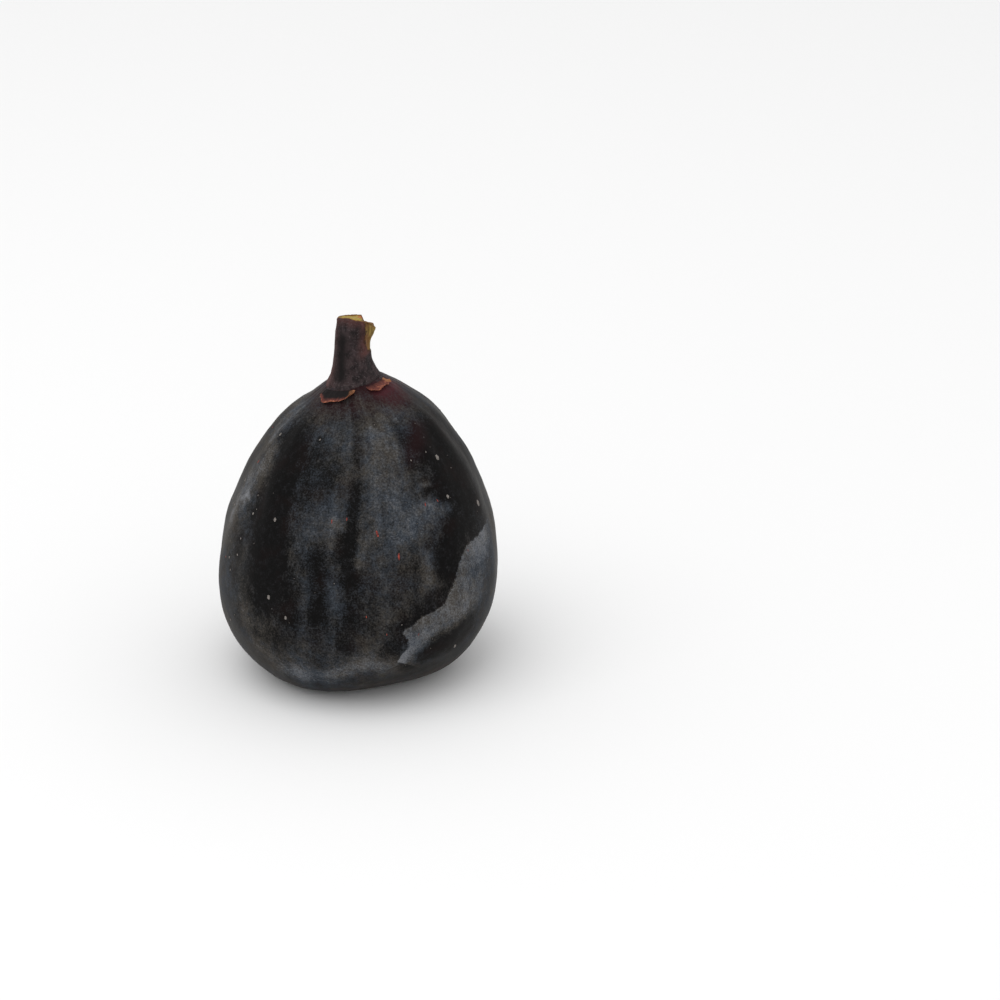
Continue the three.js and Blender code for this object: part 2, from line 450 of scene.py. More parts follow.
def cut_flesh(shader, fine):
    """Yellow-green flesh with a duller 'pith' in its middle and a 'scarlet' fleck."""
    colour = shader.mix(shader.ramp(fine, 0.35, 0.65), FLESH_OLIVE, FLESH_YELLOW)
    colour = shader.mix(shader.attribute("pith"), colour, FLESH_PITH)
    return shader.mix(shader.attribute("scarlet"), colour, FLESH_SCARLET)


def stalk_material():
    """Bark that turns to torn tissue with a dark rim where 'bare' says, and to cut flesh where 'cut' says."""
    shader = Shader("stalk")
    fibre = shader.noise(0.6, 4.0, 0.65, shader.attribute("grain", vector=True))
    blotch = shader.noise(1.7, 4.0, 0.65)
    fine = shader.noise(0.28, 3.0, 0.75)
    ragged = shader.total((shader.attribute("bare"), 1.0), (fine, 0.4), (blotch, 0.8))
    colour = shader.mix(shader.ramp(ragged, 1.02, 1.12), bark(shader, fibre, blotch, fine), TORN_RIM)
    colour = shader.mix(shader.ramp(ragged, 1.10, 1.22), colour, torn_tissue(shader, fibre, blotch))
    colour = shader.mix(shader.ramp(shader.attribute("cut"), 0.4, 0.6), colour, cut_flesh(shader, fine))
    roughness = shader.ramp(fine, 0.3, 0.7, 0.6, 0.8)
    relief = shader.bump(shader.total((fibre, 0.5), (fine, 0.5)), 0.45, 0.1)
    return shader.finish(Base_Color=colour, Roughness=roughness, Normal=relief, Specular=0.1)


def bract_material():
    """Dry scale: dark like the stalk at its root, wine-red in the middle, orange-brown on its torn edge, and
    paler orange-brown at its right end, partly dry tissue and partly a painted highlight.
    """
    shader = Shader("bract")
    fibre = shader.noise(0.5, 3.0, 0.6)
    reach = shader.math("ADD", shader.attribute("reach"), shader.math("MULTIPLY", fibre, 0.4))
    colour = shader.mix(shader.ramp(reach, 0.75, 1.15), BRACT_ROOT, BRACT_WINE)
    torn_edge = shader.total((reach, 1.0), (shader.noise(0.9, 3.0, 0.6), 0.7))
    colour = shader.mix(shader.ramp(torn_edge, 1.43, 1.64), colour, BRACT_TORN_EDGE)
    dry = shader.total((shader.attribute("dry"), 1.0), (shader.noise(0.7, 3.0, 0.6), 0.8))
    colour = shader.mix(shader.ramp(dry, 0.75, 1.25), colour, BRACT_DRY_AND_HIGHLIGHT)
    relief = shader.bump(fibre, 0.5, 0.1)
    return shader.finish(Base_Color=colour, Roughness=0.68, Normal=relief, Specular=0.12)


def scale_material():
    """Eye scales: dull wine-brown, paler and drier towards the tip."""
    shader = Shader("eye_scale")
    fibre = shader.noise(0.4, 3.0, 0.65)
    reach = shader.math("ADD", shader.attribute("reach"), shader.math("MULTIPLY", fibre, 0.35))
    colour = shader.mix(shader.ramp(reach, 0.3, 0.8), SCALE_ROOT, SCALE_WINE)
    colour = shader.mix(shader.ramp(reach, 0.85, 1.2), colour, SCALE_DRY_TIP)
    relief = shader.bump(fibre, 0.5, 0.1)
    return shader.finish(Base_Color=colour, Roughness=0.7, Normal=relief, Specular=0.3)


def floor_material():
    """Plain matt pale tabletop."""
    return Shader("floor").finish(Base_Color=TABLETOP, Roughness=0.9, Specular=0.1)


# ---- where the bloom is wiped off or left thick, and where shade and light are painted ----

# Bloom on untouched skin, and how much a lenticel rubs off over how many times its half length.
EVEN_BLOOM = 0.44
HALO_DEPTH = 0.45
HALO_REACH = 2.4

# Each stroke runs through (azimuth, height) points, with a half width in millimetres and a strength.
# Negative strengths are wiped streaks, positive ones are thicker bloom; the strokes marked below also paint
# shade or light, in part or whole.
FRONT_STROKES = [
    # Partly real bloom and partly a painted rim highlight along the left edge.
    ([(-172, 53), (-161, 48.5), (-155, 45), (-160, 40), (-164, 34)], 3.0, 0.36),
    ([(-146, 53), (-142, 49), (-136, 46)], 2.2, -0.2),
    ([(-139, 49), (-134, 43), (-133, 37)], 3.3, -0.7),
    ([(-133, 37), (-131, 29), (-128, 23)], 3.8, -0.76),
    ([(-121, 48), (-116, 43), (-108, 45)], 3.2, -0.22),
    ([(-123, 33), (-120, 28), (-114, 20)], 2.3, -0.42),
    ([(-150, 30), (-144, 22)], 3.0, -0.2),
    ([(-50, 49), (-36, 48), (-34, 43), (-46, 42)], 3.4, -0.5),
    # Partly a wiped streak and partly painted shade on the right rim.
    ([(-28, 49), (-18, 46), (-20, 42), (-26, 39)], 3.4, -0.85),
    # Painted shade on the right rim.
    ([(-10, 51), (-5, 45), (-5, 38)], 3.0, -0.4),
    ([(-40, 35.5), (-46, 32.5), (-52, 29)], 2.8, -0.45),
    ([(-65, 33.5), (-65, 30)], 1.5, -0.2),
    ([(-89, 56), (-89, 44)], 0.9, -0.12),
    ([(-90, 44), (-92, 37)], 1.3, -0.28),
    ([(-94.5, 36), (-93.5, 32), (-92, 29)], 1.9, -0.6),
    ([(-92, 27), (-91, 21)], 1.7, -0.2),
    ([(-104, 21), (-94, 20), (-92, 16)], 2.2, -0.26),
    # Painted shade on the neck under the stalk's hem, between the bracts.
    ([(-84, 58.1), (-60, 57.6)], 1.3, -0.4),
    ([(-80, 17), (-76, 13)], 2.0, -0.16),
    ([(-132, 15), (-122, 14)], 2.0, -0.2),
    ([(-61, 10.5), (-50, 12.5), (-40, 14.5)], 2.6, -0.85),
    ([(-28, 29), (-32, 21), (-40, 18)], 3.2, 0.42),
    ([(-46, 17), (-58, 16), (-64, 14.5)], 2.2, 0.2),
    ([(-110, 38), (-106, 34)], 2.2, 0.24),
    ([(-98, 38), (-95, 37)], 1.4, 0.25),
    ([(-105, 33.5), (-103, 28), (-103, 22)], 1.9, -0.42),
    ([(-98, 27), (-98, 21)], 1.4, 0.2),
    ([(-86, 35), (-88, 31)], 1.4, 0.35),
    ([(-78, 52), (-76, 42), (-70, 36), (-62, 38)], 4.0, 0.28),
    ([(-60, 49), (-54, 48)], 1.6, 0.3),
    ([(-54, 40), (-43, 38.5)], 1.7, 0.38),
    ([(-58, 30.5), (-58, 26)], 1.6, 0.5),
    ([(-62, 25), (-68, 22)], 2.2, 0.2),
    ([(-76, 20), (-84, 13), (-78, 11)], 2.6, 0.34),
    ([(-142, 20), (-131, 13)], 2.8, 0.2),
    ([(-118, 15.5), (-96, 16.5)], 2.2, -0.14),
    # Partly real thick bloom near the base and partly painted light lifting the shade on the underside.
    ([(-120, 7.5), (-100, 8.2), (-84, 10.2), (-74, 9.5), (-67, 11)], 2.5, 0.5),
    ([(-60, 54), (-40, 54)], 2.5, 0.12),
    ([(-57, 42.7), (-53, 43.3), (-48, 42.9)], 0.5, 0.5),
    ([(-160, 37), (-156, 38.4), (-153, 38)], 0.5, 0.5),
    ([(-157, 40), (-155.5, 36)], 0.5, 0.4),
]
# Strokes of wine-red on the neck, under the right bract, and how much bloom they take away.
MAROON_STROKES = [
    ([(-44, 57), (-26, 57), (-8, 56.8)], 1.5, 0.95),
    ([(-40, 55.3), (-18, 55.4)], 2.2, 0.35),
    ([(-38, 52), (-46, 50), (-54, 48.5)], 2.0, 0.14),
]
MAROON_WIPE = 0.3

# The sharp torn border of the bloom at the front right, from its top end down to the heel.
BLOOM_BORDER = [(-20, 31.5), (-27, 31), (-37, 30.5), (-42, 28.5), (-47, 24.5), (-53, 21), (-63, 20),
                (-71, 17.5), (-67.5, 14.5), (-72, 10.8), (-66, 8.8)]
# How much the bloom steps up or down beside it, how far that reaches, and the body's radius there.
BORDER_GAIN = 0.42
BORDER_REACH = 5.0
BORDER_RADIUS = 24.0

BACK_STROKE_COUNT = 22
BACK_STROKE_SPACING = 9.0


def back_strokes(chance):
    """Seeded streaks over the back and the sides, wiped and thick by turns, all running from neck to base."""
    strokes = []
    for step in range(BACK_STROKE_COUNT):
        azimuth = 2.0 + step * BACK_STROKE_SPACING + chance.uniform(-3.0, 3.0)
        top = chance.uniform(34.0, 54.0)
        bottom = top - chance.uniform(10.0, 30.0)
        drift = chance.uniform(-9.0, 9.0)
        strength = chance.uniform(0.15, 0.32) if step % 2 else -chance.uniform(0.3, 0.62)
        middle = (azimuth + drift / 2, (top + bottom) / 2)
        path = [(azimuth, top), middle, (azimuth + drift, max(bottom, 4.0))]
        strokes.append((path, chance.uniform(1.6, 3.8), strength))
    return strokes


def stroke_field(points, path, half_width):
    """1 on a stroke's path over the skin, falling off to 0 over its half width."""
    steps = spline(path, 24)
    middle = skin_point(steps[:, 0], steps[:, 1])
    nearest = np.full(len(points), np.inf)
    for place in middle:
        nearest = np.minimum(nearest, ((points - place) ** 2).sum(axis=1))
    return np.exp(-nearest / half_width ** 2)


def bloom_field(points, spots, chance):
    """How much bloom each point has: even, wiped or thickened by strokes, some of which also paint shade or
    light, and rubbed off round the spots.
    """
    bloom = np.full(len(points), EVEN_BLOOM)
    for path, half_width, strength in FRONT_STROKES + back_strokes(chance):
        bloom += strength * stroke_field(points, path, half_width)
    for azimuth, height, half_length in spots:
        away = ((points - skin_point(azimuth, height)) ** 2).sum(axis=1)
        bloom -= HALO_DEPTH * np.exp(-away / (HALO_REACH * half_length) ** 2)
    return bloom


def maroon_field(points, height):
    """How wine-red each point is: by the strokes, and a little all round the neck."""
    maroon = np.zeros(len(points))
    for path, half_width, strength in MAROON_STROKES:
        maroon += strength * stroke_field(points, path, half_width)
    return maroon + 0.25 * smooth(height, 53.0, 57.0)


def border_field(azimuth, height):
    """Distance in millimetres from the bloom's border, positive on the side where the bloom is left."""
    around = math.radians(1.0) * BORDER_RADIUS
    border = np.array(BLOOM_BORDER, float) * (around, 1.0)
    places = np.stack([azimuth * around, height], axis=-1)
    best = np.full(len(places), np.inf)
    signed = np.zeros(len(places))
    for start, end in zip(border[:-1], border[1:]):
        run = end - start
        part = np.clip(((places - start) @ run) / (run @ run), 0.0, 1.0)[:, None]
        away = places - (start + part * run)
        distance = np.linalg.norm(away, axis=1)
        side = np.sign(away[:, 1] * run[0] - away[:, 0] * run[1])
        closer = distance < best
        signed = np.where(closer, side * distance, signed)
        best = np.minimum(best, distance)
    return signed


# ---- spots on the skin ----

# Lenticels placed one by one on the front: azimuth, height, half length in millimetres.
FRONT_LENTICELS = [(-36, 46.5, 0.66), (-40, 40, 0.52), (-19, 36, 0.72), (-130, 37, 0.5), (-126, 23, 0.56),
                   (-117, 20, 0.46), (-43, 10.5, 0.52), (-119, 51, 0.3), (-43, 48, 0.24), (-55, 47.5, 0.24)]
# Red splits placed one by one on the front: azimuth, height, half length.
FRONT_SPECKS = [(-80, 36.5, 0.85), (-71, 32, 0.8), (-101, 38.5, 0.5), (-94, 39, 0.5), (-54, 40, 0.55),
                (-47, 40, 0.4), (-36, 29.5, 0.35), (-77, 17.5, 0.35), (-85, 21.5, 0.35), (-64, 16.5, 0.35),
                (-160, 25.5, 0.3)]

# Spots reach up to this height. Each is turned by up to this many radians, its edge is uneven by this share
# of its size, and it is sunk into the skin this deep at its edge.
SPOT_TOP = 56.0
SPOT_TURN = 0.35
SPOT_RAGGEDNESS = 0.14
SPOT_SINK = 0.06
SPOT_SIDES = 12
SPOT_RINGS = 3


def scattered(chance, count, azimuths, half_lengths):
    """Seeded spots over part of the skin: azimuth, height and half length of each."""
    spots = []
    for _ in range(count):
        height = SPOT_TOP * chance.uniform(0.06, 1.0) ** 0.8
        spots.append((chance.uniform(*azimuths), height, chance.uniform(*half_lengths)))
    return spots


def spot_points(spot, slenderness, rise, chance):
    """A low ragged dome, taller than wide: its crown and then its rings, of which the last is in the skin."""
    azimuth, height, half_length = spot
    place, outwards, sideways, upwards = skin_frame(azimuth, height)
    place = place + outwards * skin_relief(place, azimuth, height)
    turn = chance.uniform(-SPOT_TURN, SPOT_TURN)
    crown = half_length * rise
    points = [place + outwards * crown]
    for ring in range(1, SPOT_RINGS + 1):
        reach = ring / SPOT_RINGS
        level = crown * (1.0 - reach ** 2) - SPOT_SINK * reach ** 4
        for side in range(SPOT_SIDES):
            angle = 2.0 * math.pi * side / SPOT_SIDES
            radius = half_length * reach * (1.0 + SPOT_RAGGEDNESS * chance.uniform(-1.0, 1.0))
            along = radius * math.cos(angle)
            across = radius * slenderness * math.sin(angle)
            up = along * math.cos(turn) - across * math.sin(turn)
            aside = along * math.sin(turn) + across * math.cos(turn)
            points.append(place + outwards * level + upwards * up + sideways * aside)
    return points


def spot_faces(crown):
    """Faces of a dome whose crown is the point of that number: a fan, bands between the rings, and a base."""
    faces = []
    first = crown + 1
    for side in range(SPOT_SIDES):
        following = (side + 1) % SPOT_SIDES
        faces.append((crown, first + following, first + side))
        for ring in range(SPOT_RINGS - 1):
            inner = first + ring * SPOT_SIDES
            outer = inner + SPOT_SIDES
            faces.append((inner + side, inner + following, outer + following, outer + side))
    faces.append(tuple(first + (SPOT_RINGS - 1) * SPOT_SIDES + side for side in range(SPOT_SIDES)))
    return faces


def spots_piece(name, spots, slenderness, rise, material, chance):
    """All the spots of one kind, as one piece of low domes set into the skin."""
    points, faces = [], []
    for spot in spots:
        faces += spot_faces(len(points))
        points += spot_points(spot, slenderness, rise, chance)
    make_piece(name, np.array(points), faces, material)


# ---- the fruit ----

FRUIT_SIDES = 384
DISH_STEPS = 12
RING_STEPS = 10
SKIN_STEPS = 216
CROWN_STEPS = 4
CROWN_CAP_RADIUS = 0.4
# Heights are squeezed this much in the field that the bloom's streaks follow, so that they run up and down.
STREAK_SQUEEZE = 0.13


def fruit_outline():
    """Radius and height from the dish's middle to the neck's, and 1 for each of these points on the skin."""
    dish = spline(EYE_OUTLINE, DISH_STEPS + 1)[1:-1]
    ring = np.linspace((EYE_RADIUS, 0.0), (REST_RADIUS, 0.0), RING_STEPS + 1)[:-1]
    skin = spline(SKIN_OUTLINE, SKIN_STEPS)
    crown = np.linspace((NECK_RADIUS, BODY_HEIGHT), (CROWN_CAP_RADIUS, BODY_HEIGHT), CROWN_STEPS)[1:]
    on_skin = np.repeat([0.0, 1.0, 0.0], [len(dish) + len(ring), len(skin), len(crown)])
    return np.concatenate([dish, ring, skin, crown]), on_skin


def fruit_fields(points, azimuth, height, spots, chance):
    """The fields of the fruit's points that its material reads."""
    edge = border_field(azimuth, height)
    maroon = maroon_field(points, height)
    angle = np.radians(azimuth)
    grain = [BODY_RADIUS * np.cos(angle), BODY_RADIUS * np.sin(angle), STREAK_SQUEEZE * height]
    return {
        "bloom": bloom_field(points, spots, chance) - MAROON_WIPE * maroon,
        "edge": edge,
        "edge_gain": BORDER_GAIN * np.exp(-(edge / BORDER_REACH) ** 2) * smooth(height, 5.5, 9.0),
        "maroon": np.clip(maroon, 0.0, 1.0),
        "grain": np.stack(grain, axis=-1),
    }


def fruit_piece(spots, chance):
    """The whole fruit from the eye's dish over the resting ring and the skin to the neck under the stalk."""
    outline, on_skin = fruit_outline()
    azimuth, radius, height = turned_grid(outline, FRUIT_SIDES)
    even = grown(azimuth, radius, height)
    relief = skin_relief(even, azimuth, height) * on_skin[:, None]
    points = even + grid_normals(even) * relief[..., None]
    above_floor = np.maximum(points[..., 2], 0.0)
    points[..., 2] = np.where(radius > EYE_RADIUS, above_floor, points[..., 2])
    fields = fruit_fields(points.reshape(-1, 3), azimuth.ravel(), height.ravel(), spots, chance)
    faces = turned_faces(len(outline), FRUIT_SIDES)
    piece = make_piece("fruit_body", points, faces, skin_material(), fields)
    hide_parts("fruit")


# ---- the stalk ----

# Radius and height above the stalk's foot; the first two points are the hem that runs out over the shoulder.
STALK_OUTLINE = [(6.7, -1.5), (5.5, -0.55), (4.75, 0.45), (4.2, 1.7), (3.7, 3.7), (3.45, 6.6), (3.38, 9.4),
                 (3.3, STALK_LENGTH)]
STALK_SIDES = 200
STALK_STEPS = 150
CUT_STEPS = 26
CUT_CAP_RADIUS = 0.12
TORN_MIDDLE = 4.0
# Heights are squeezed this much where fibres are wanted: in the stalk's relief, and in its material.
RELIEF_SQUEEZE = (1.0, 1.0, 0.16)
FIBRE_SQUEEZE = (1.0, 1.0, 0.14)


def stalk_point(azimuth, radius, height):
    """Bends the turned stalk: tilted foot, bow to the left, sloping cut and a lower torn nub on its right."""
    along = np.clip(height / STALK_LENGTH, 0.0, 1.0)
    full = smooth(radius, 0.0, 3.3)
    nub = 0.9 * swelling(azimuth, -4, 34) * smooth(along, 0.56, 0.84) * full
    nub = nub * (1.0 - 0.55 * smooth(along, 0.9, 1.0))
    short_hem = 0.8 * swelling(azimuth, -15, 50) * smooth(-height, -0.3, 1.5)
    radius = radius - 1.5 * short_hem
    height = height + 1.1 * short_hem
    x = (radius + nub) * np.cos(np.radians(azimuth))
    y = (radius + nub) * np.sin(np.radians(azimuth))
    bow = 0.35 * along - 0.25 * np.sin(np.pi * along)
    foot = NECK_TILT * x * (1.0 - smooth(along, 0.0, 0.6))
    front = 1.0 - smooth(y, -2.6, -0.6)
    step = 0.5 * front * smooth(x, -1.3, 0.7) + smooth(x, 1.2, 1.9) * (1.25 - 1.05 * front)
    corner = 0.25 * smooth(-x, 2.8, 3.3)
    slope = smooth(along, 0.5, 1.0) * 0.265 * y + smooth(along, 0.75, 1.0) * (step + corner)
    axis_x = AXIS_X + lean_at(BODY_HEIGHT)
    return np.stack([axis_x + x + bow, AXIS_Y + y, STALK_FOOT + height + foot - slope], axis=-1)


def torn_strip(azimuth, along, fibres):
    """1 where the bark is torn off, down the stalk's right side from its nub."""
    spread = 48.0 + 16.0 * smooth(along, 0.45, 0.85)
    return swelling(azimuth, TORN_MIDDLE, spread) * smooth(along + 0.1 * fibres, 0.3, 0.6)


def side_relief(even, azimuth, height, fibres, torn):
    """How far the stalk's side stands off the even one: fibres and ridges, with the torn strip sunk in."""
    ridge = 0.07 * np.cos(np.radians(7.0 * azimuth + 40.0 * noise_at(even * RELIEF_SQUEEZE, 3.0, 1, 9.3)))
    return (fibres + ridge - 0.2 * smooth(torn, 0.4, 0.7)) * smooth(height, -1.4, 0.5)


def cut_relief(even, azimuth, reach):
    """How far the cut face stands up: uneven, with a raised ring, a lip at its back and a sunken middle."""
    ring = smooth(reach, 0.7, 0.9) - 1.3 * smooth(reach, 0.93, 1.0)
    back_lip = 0.2 * swelling(azimuth, 85, 50) * smooth(reach, 0.76, 0.88)
    hollow = 0.12 * np.exp(-(reach / 0.3) ** 2)
    return 0.12 * noise_at(even, 1.1, 3, 2.7) + 0.14 * ring + back_lip - hollow


def side_flush(azimuth, along):
    """Where the side is red: a streak and a patch on its right front, a streak on its left edge, and its rim.
    """
    front_streak = 0.35 * swelling(azimuth, -54, 14) * smooth(along, 0.3, 0.5)
    part_way = smooth(along, 0.38, 0.5) * (1.0 - smooth(along, 0.62, 0.8))
    front_patch = 0.8 * swelling(azimuth, -30, 18) * part_way
    # The left streak is partly red bark and partly a painted highlight along the stalk's left edge.
    left_streak_and_highlight = 0.55 * swelling(azimuth, 183, 26)
    return front_streak + front_patch + left_streak_and_highlight + 0.4 * smooth(along, 0.84, 0.98)


def painted_shade_band(azimuth, along):
    """Where painted shade darkens the bark: one long band down its left front."""
    return 0.95 * swelling(azimuth, -122, 19) * smooth(along, 0.0, 0.15) * (1.0 - smooth(along, 0.7, 0.85))


def cut_fields(azimuth, radius, reach):
    """Fields of the cut face: flesh that stops short of the rim and the nub, its pith, a fleck, a red rim."""
    to_right = radius * np.cos(np.radians(azimuth))
    to_rim = reach + 0.1 * smooth(np.sin(np.radians(azimuth)), 0.0, 0.6)
    off_rim = 1.0 - smooth(to_rim, 0.84, 0.93)
    off_nub = 1.0 - smooth(to_right, 1.1, 1.7)
    return {
        "cut": off_rim * off_nub * smooth(to_right, -2.7, -2.0),
        "pith": np.exp(-(reach / 0.34) ** 2),
        "scarlet": smooth(to_right, 0.3, 1.3) * smooth(azimuth, 10.0, 40.0),
        "flush": 0.8 * smooth(to_rim, 0.8, 0.93),
    }


def stalk_piece():
    """The stalk with its fibres, the torn strip down its right side and the uneven cut face."""
    side = spline(STALK_OUTLINE, STALK_STEPS)
    cut = np.linspace(side[-1], (CUT_CAP_RADIUS, STALK_LENGTH), CUT_STEPS + 1)[1:]
    outline = np.concatenate([side, cut])
    on_cut = np.repeat([0.0, 1.0], [len(side), len(cut)])[:, None]
    on_side = 1.0 - on_cut
    azimuth, radius, height = turned_grid(outline, STALK_SIDES)
    along = np.clip(height / STALK_LENGTH, 0.0, 1.0)
    reach = radius / side[-1, 0]

    even = stalk_point(azimuth, radius, height)
    fibres = 0.05 * noise_at(even * RELIEF_SQUEEZE, 1.1, 3, 4.5) + 0.16 * noise_at(even, 3.6, 2, 6.1)
    torn = torn_strip(azimuth, along, fibres)
    relief = on_side * side_relief(even, azimuth, height, fibres, torn)
    points = even + grid_normals(even) * relief[..., None]
    points[..., 2] += on_cut * cut_relief(even, azimuth, reach)

    fields = {key: on_cut * values for key, values in cut_fields(azimuth, radius, reach).items()}
    fields["flush"] += on_side * side_flush(azimuth, along)
    # Painted shade: a dark band down the stalk's left front.
    fields["shade"] = painted_shade_band(azimuth, along)
    fields["bare"] = np.maximum(torn, on_cut)
    fields["grain"] = even * FIBRE_SQUEEZE
    faces = turned_faces(len(outline), STALK_SIDES)
    piece = make_piece("cut_stalk", points, faces, stalk_material(), fields)
    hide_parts("stalk")


# ---- bracts and eye scales ----

# Each bract: its middle and half its width in degrees; its lengths, and how far its edge curls up, in
# millimetres at even steps over its width; from 0 to 1, how red its root is and how strongly its right end is
# turned paler orange-brown, partly dry tissue and partly a painted highlight.
BRACTS = [
    {"name": "bract_front_left", "seed": 21,
     "middle": -117, "half_width": 33, "redness": 0.05, "dry_end": 0.7,
     "lengths": (1.5, 3.2, 2.7, 2.5, 2.5, 2.5, 1.4), "curls": (0.2, 0.4, 0.4, 0.3, 0.4, 1.1, 1.4)},
    {"name": "bract_right", "seed": 22,
     "middle": -37, "half_width": 26, "redness": 0.72, "dry_end": 1.0,
     "lengths": (1.4, 1.8, 1.6, 1.7, 1.4), "curls": (0.5, 0.5, 0.5, 0.7, 0.7)},
    {"name": "bract_back", "seed": 23,
     "middle": 86, "half_width": 30, "redness": 0.3, "dry_end": 0.4,
     "lengths": (1.4, 2.4, 2.9, 2.5, 1.6), "curls": (0.3, 0.3, 0.4, 0.3, 0.2)},
]
BRACT_SIDE_STEPS = 72
BRACT_DOWN_STEPS = 26
BRACT_TEETH = 23
BRACT_THICKNESS = 0.4
ROOT_FROM_NECK = 0.6

# No part of a scale's sheet comes nearer to the resting plane than the clearance.
SCALE_STEPS = 22
SCALE_THICKNESS = 0.34
SCALE_CLEARANCE = 0.16


def leaf_piece(name, points, outwards, thickness, material, fields):
    """A closed thin leaf from a grid of points and their outward directions, thinner towards its edge.

    The fields are numbers on the same grid, which the material reads; 'reach' is 1 at the edge.
    """
    rows, columns = points.shape[:2]
    half = (thickness * (1.0 - 0.75 * fields["reach"] ** 2) / 2.0)[..., None] * outwards
    both = np.concatenate([(points + half).reshape(-1, 3), (points - half).reshape(-1, 3)])
    count = rows * columns
    upper = grid_faces(rows, columns, False)
    lower = [tuple(count + corner for corner in reversed(face)) for face in upper]
    rim = ([(0, k) for k in range(columns)] + [(r, columns - 1) for r in range(1, rows)]
           + [(rows - 1, k) for k in range(columns - 2, -1, -1)] + [(r, 0) for r in range(rows - 2, 0, -1)])
    rim = [r * columns + k for r, k in rim]
    walls = [(here, count + here, count + there, there) for here, there in zip(rim, rim[1:] + rim[:1])]
    both_fields = {key: np.tile(values.ravel(), 2) for key, values in fields.items()}
    return make_piece(name, both, upper + lower + walls, material, both_fields)


def bract_piece(material, name, middle, half_width, lengths, curls, redness, dry_end, seed):
    """A basal bract: it leaves the stalk's hem, lies over the shoulder and ends in a ragged, curled edge."""
    chance = np.random.default_rng(seed)
    side = np.linspace(-1.0, 1.0, BRACT_SIDE_STEPS)
    teeth = np.interp(side, np.linspace(-1.0, 1.0, BRACT_TEETH), chance.uniform(-1.0, 1.0, BRACT_TEETH))
    steps = np.arange(len(lengths))
    length = spline(np.column_stack([steps, lengths]), BRACT_SIDE_STEPS)[:, 1] + 0.2 * teeth
    curl = spline(np.column_stack([steps, curls]), BRACT_SIDE_STEPS)[:, 1]
    part = np.linspace(0.0, 1.0, BRACT_DOWN_STEPS)[:, None]
    azimuth = middle + half_width * side * (1.0 - 0.12 * part)
    from_neck = ROOT_FROM_NECK + part * length
    down = OUTLINE[::-1]
    radius = np.interp(from_neck, travelled(down), down[:, 0])
    height = np.interp(from_neck, travelled(down), down[:, 1])
    skin = grown(azimuth, radius, height)
    normals = open_grid_normals(skin)
    wave = 0.16 * noise_at(skin, 1.5, 2, float(seed)) + 0.13 * teeth * part ** 2
    stand = 0.12 + 0.2 * part + curl * part ** 3 + wave * part + skin_relief(skin, azimuth, height)
    points = skin + normals * stand[..., None]
    reach = np.maximum(redness + (1.0 - redness) * part, np.abs(side) ** 10)
    # Paler right end: partly dry tissue and partly a painted highlight.
    dry = np.broadcast_to(dry_end * smooth(side, 0.35, 0.95), reach.shape)
    fields = {"reach": reach, "dry": dry}
    piece = leaf_piece(name + "_leaf", points, normals, BRACT_THICKNESS, material, fields)
    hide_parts(name)


def eye_scale_piece(name, material, turn, seed, tip, root, half_angle, level, rise):
    """One scale of the eye: a pointed leaf from its root on the dish's wall to its tip near the middle.

    The turn is in degrees, and so is half the angle over which its root spreads. Its tip and its root are
    given by their distance from the middle. Its root is at the level, and its tip is higher by the rise.
    """
    part, side = np.meshgrid(np.linspace(0.0, 1.0, SCALE_STEPS), np.linspace(-1.0, 1.0, SCALE_STEPS),
                             indexing="ij")
    x = root + (tip - root) * part
    y = (root * math.tan(math.radians(half_angle)) * (1.0 - part ** 1.7) ** 0.75 + 0.05) * side
    cup = 0.22 * side ** 2 * (1.0 - part)
    z = level + rise * part ** 1.5 + cup
    wobble = 0.06 * noise_at(np.stack([x, y, z], axis=-1), 0.9, 2, float(seed))
    angle = math.radians(turn)
    points = np.stack([
        AXIS_X + lean_at(0.0) + x * math.cos(angle) - y * math.sin(angle),
        AXIS_Y + x * math.sin(angle) + y * math.cos(angle),
        np.maximum(z + wobble, SCALE_CLEARANCE),
    ], axis=-1)
    outwards = np.broadcast_to((0.0, 0.0, -1.0), points.shape)
    fields = {"reach": np.maximum(part, np.abs(side) ** 6)[::-1]}
    return leaf_piece(name, points[::-1], outwards, SCALE_THICKNESS, material, fields)


def scale_ring(name, material, count, first_turn, first_seed, **shape):
    """An even ring of eye scales of one shape."""
    pieces = []
    for index in range(count):
        turn = 360.0 / count * index + first_turn
        pieces.append(eye_scale_piece(f"{name}_{index + 1}", material, turn, first_seed + index, **shape))
    return pieces


def eye_pieces():
    """Five outer scales that stand for the CAD ones, and a second and third ring that close the eye."""
    material = scale_material()
    outer = scale_ring("eye_leaf", material, 5, 0.0, 40,
                       tip=0.7, root=4.6, half_angle=33.0, level=1.25, rise=-0.75)
    for index, piece in enumerate(outer):
        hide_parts(f"eye_scale_{index + 1}")
    scale_ring("eye_inner", material, 5, 36.0, 60,
               tip=0.35, root=3.3, half_angle=34.0, level=0.95, rise=-0.5)
    scale_ring("eye_bud", material, 4, 14.0, 80,
               tip=0.1, root=1.9, half_angle=38.0, level=0.62, rise=-0.25)


# ---- the set ----

CAMERA_ELEVATION = 23.0
CAMERA_DISTANCE = 600.0
CAMERA_LENS = 112.4
CAMERA_SENSOR = 36.0
AIM = (27.4, 0.6, 33.3)

# The set is in metres: half the floor's width, and the soft box's place, its aim and its side. Its power is
# in watts.
FLOOR_REACH = 3.0
SOFT_BOX_PLACE = (-0.3, -0.35, 0.95)
SOFT_BOX_AIM = (0.0, 0.0, 0.03)
SOFT_BOX_SIDE = 1.0
SOFT_BOX_POWER = 3.9
WORLD_STRENGTH = 0.93


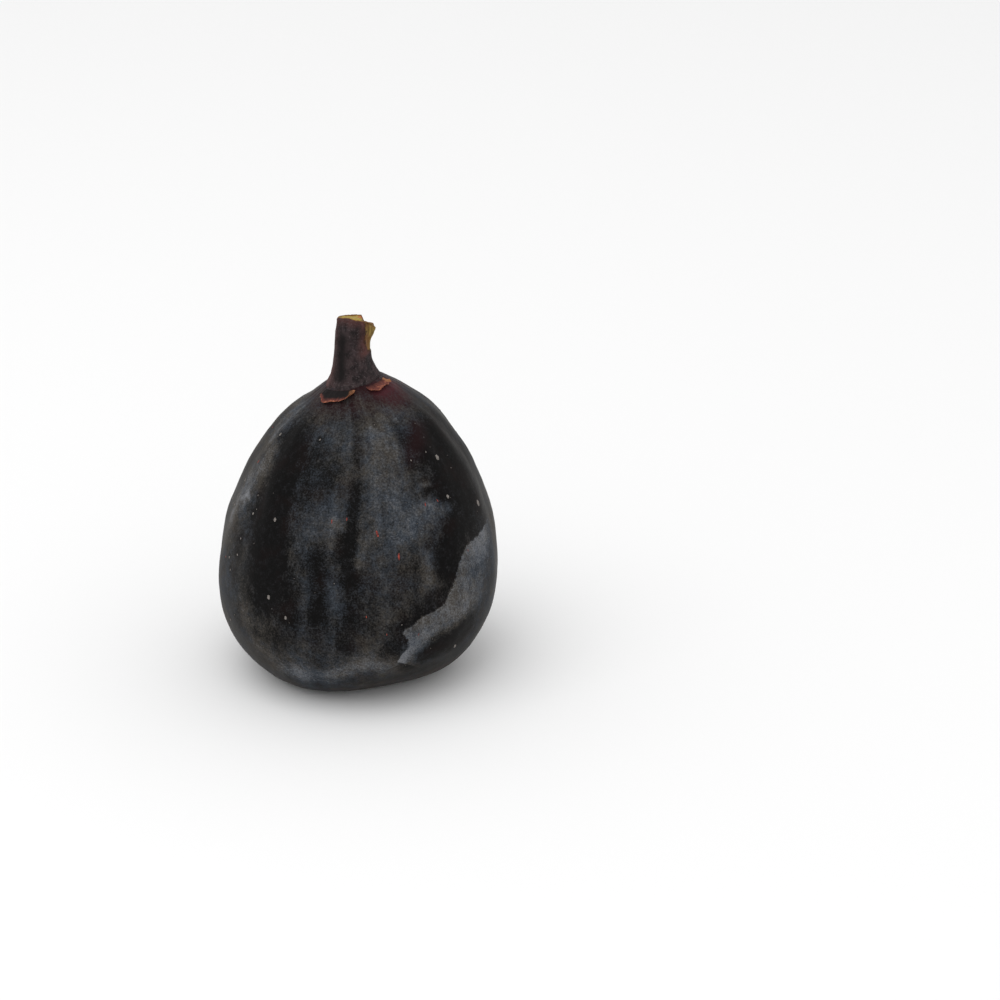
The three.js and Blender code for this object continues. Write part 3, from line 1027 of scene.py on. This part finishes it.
def camera():
    """Looks from the front and a little above, with the fig left of the middle of the picture."""
    data = bpy.data.cameras.new("camera")
    data.lens = CAMERA_LENS
    data.sensor_width = CAMERA_SENSOR
    data.clip_start = 0.01
    eye = bpy.data.objects.new("camera", data)
    angle = math.radians(CAMERA_ELEVATION)
    away = Vector((0.0, -math.cos(angle), math.sin(angle))) * CAMERA_DISTANCE * MM
    eye.location = Vector(AIM) * MM + away
    eye.rotation_euler = (-away).to_track_quat("-Z", "Y").to_euler()
    bpy.context.scene.collection.objects.link(eye)
    bpy.context.scene.camera = eye


def floor():
    """A plain pale tabletop, wide enough to fill the picture from any side."""
    mesh = bpy.data.meshes.new("floor")
    corners = [(x * FLOOR_REACH, y * FLOOR_REACH, 0.0) for x, y in ((-1, -1), (1, -1), (1, 1), (-1, 1))]
    mesh.from_pydata(corners, [], [(0, 1, 2, 3)])
    mesh.materials.append(floor_material())
    table = bpy.data.objects.new("floor", mesh)
    bpy.context.scene.collection.objects.link(table)


def soft_box():
    """A large square light above the fig, to the front left."""
    data = bpy.data.lights.new("soft_top", "AREA")
    data.size = SOFT_BOX_SIDE
    data.energy = SOFT_BOX_POWER
    lamp = bpy.data.objects.new("soft_top", data)
    lamp.location = SOFT_BOX_PLACE
    lamp.rotation_euler = (Vector(SOFT_BOX_AIM) - lamp.location).to_track_quat("-Z", "Y").to_euler()
    bpy.context.scene.collection.objects.link(lamp)


def surroundings():
    """Even pale light from all round."""
    world = bpy.data.worlds.new("surroundings")
    world.use_nodes = True
    background = world.node_tree.nodes["Background"]
    background.inputs["Color"].default_value = (1.0, 1.0, 1.0, 1.0)
    background.inputs["Strength"].default_value = WORLD_STRENGTH
    bpy.context.scene.world = world


def main():
    """Builds the fig's pieces and then the set. The order matters, since the random draws share one seed."""
    chance = np.random.default_rng(SEED)
    # Seeded lenticels cover the back and the sides, and finer ones fill in the front.
    lenticels = FRONT_LENTICELS + scattered(chance, 60, (0.0, 215.0), (0.16, 0.42))
    lenticels += scattered(chance, 26, (-150.0, -10.0), (0.10, 0.18))
    specks = FRONT_SPECKS + scattered(chance, 26, (-5.0, 200.0), (0.2, 0.5))
    fruit_piece(lenticels, chance)
    spots_piece("lenticels", lenticels, 0.72, 0.22, lenticel_material(), chance)
    spots_piece("red_specks", specks, 0.3, 0.12, speck_material(), chance)
    stalk_piece()
    bract_scale = bract_material()
    for bract in BRACTS:
        bract_piece(bract_scale, **bract)
    eye_pieces()
    floor()
    soft_box()
    surroundings()
    bpy.context.scene.view_settings.view_transform = "Standard"
    camera()


main()
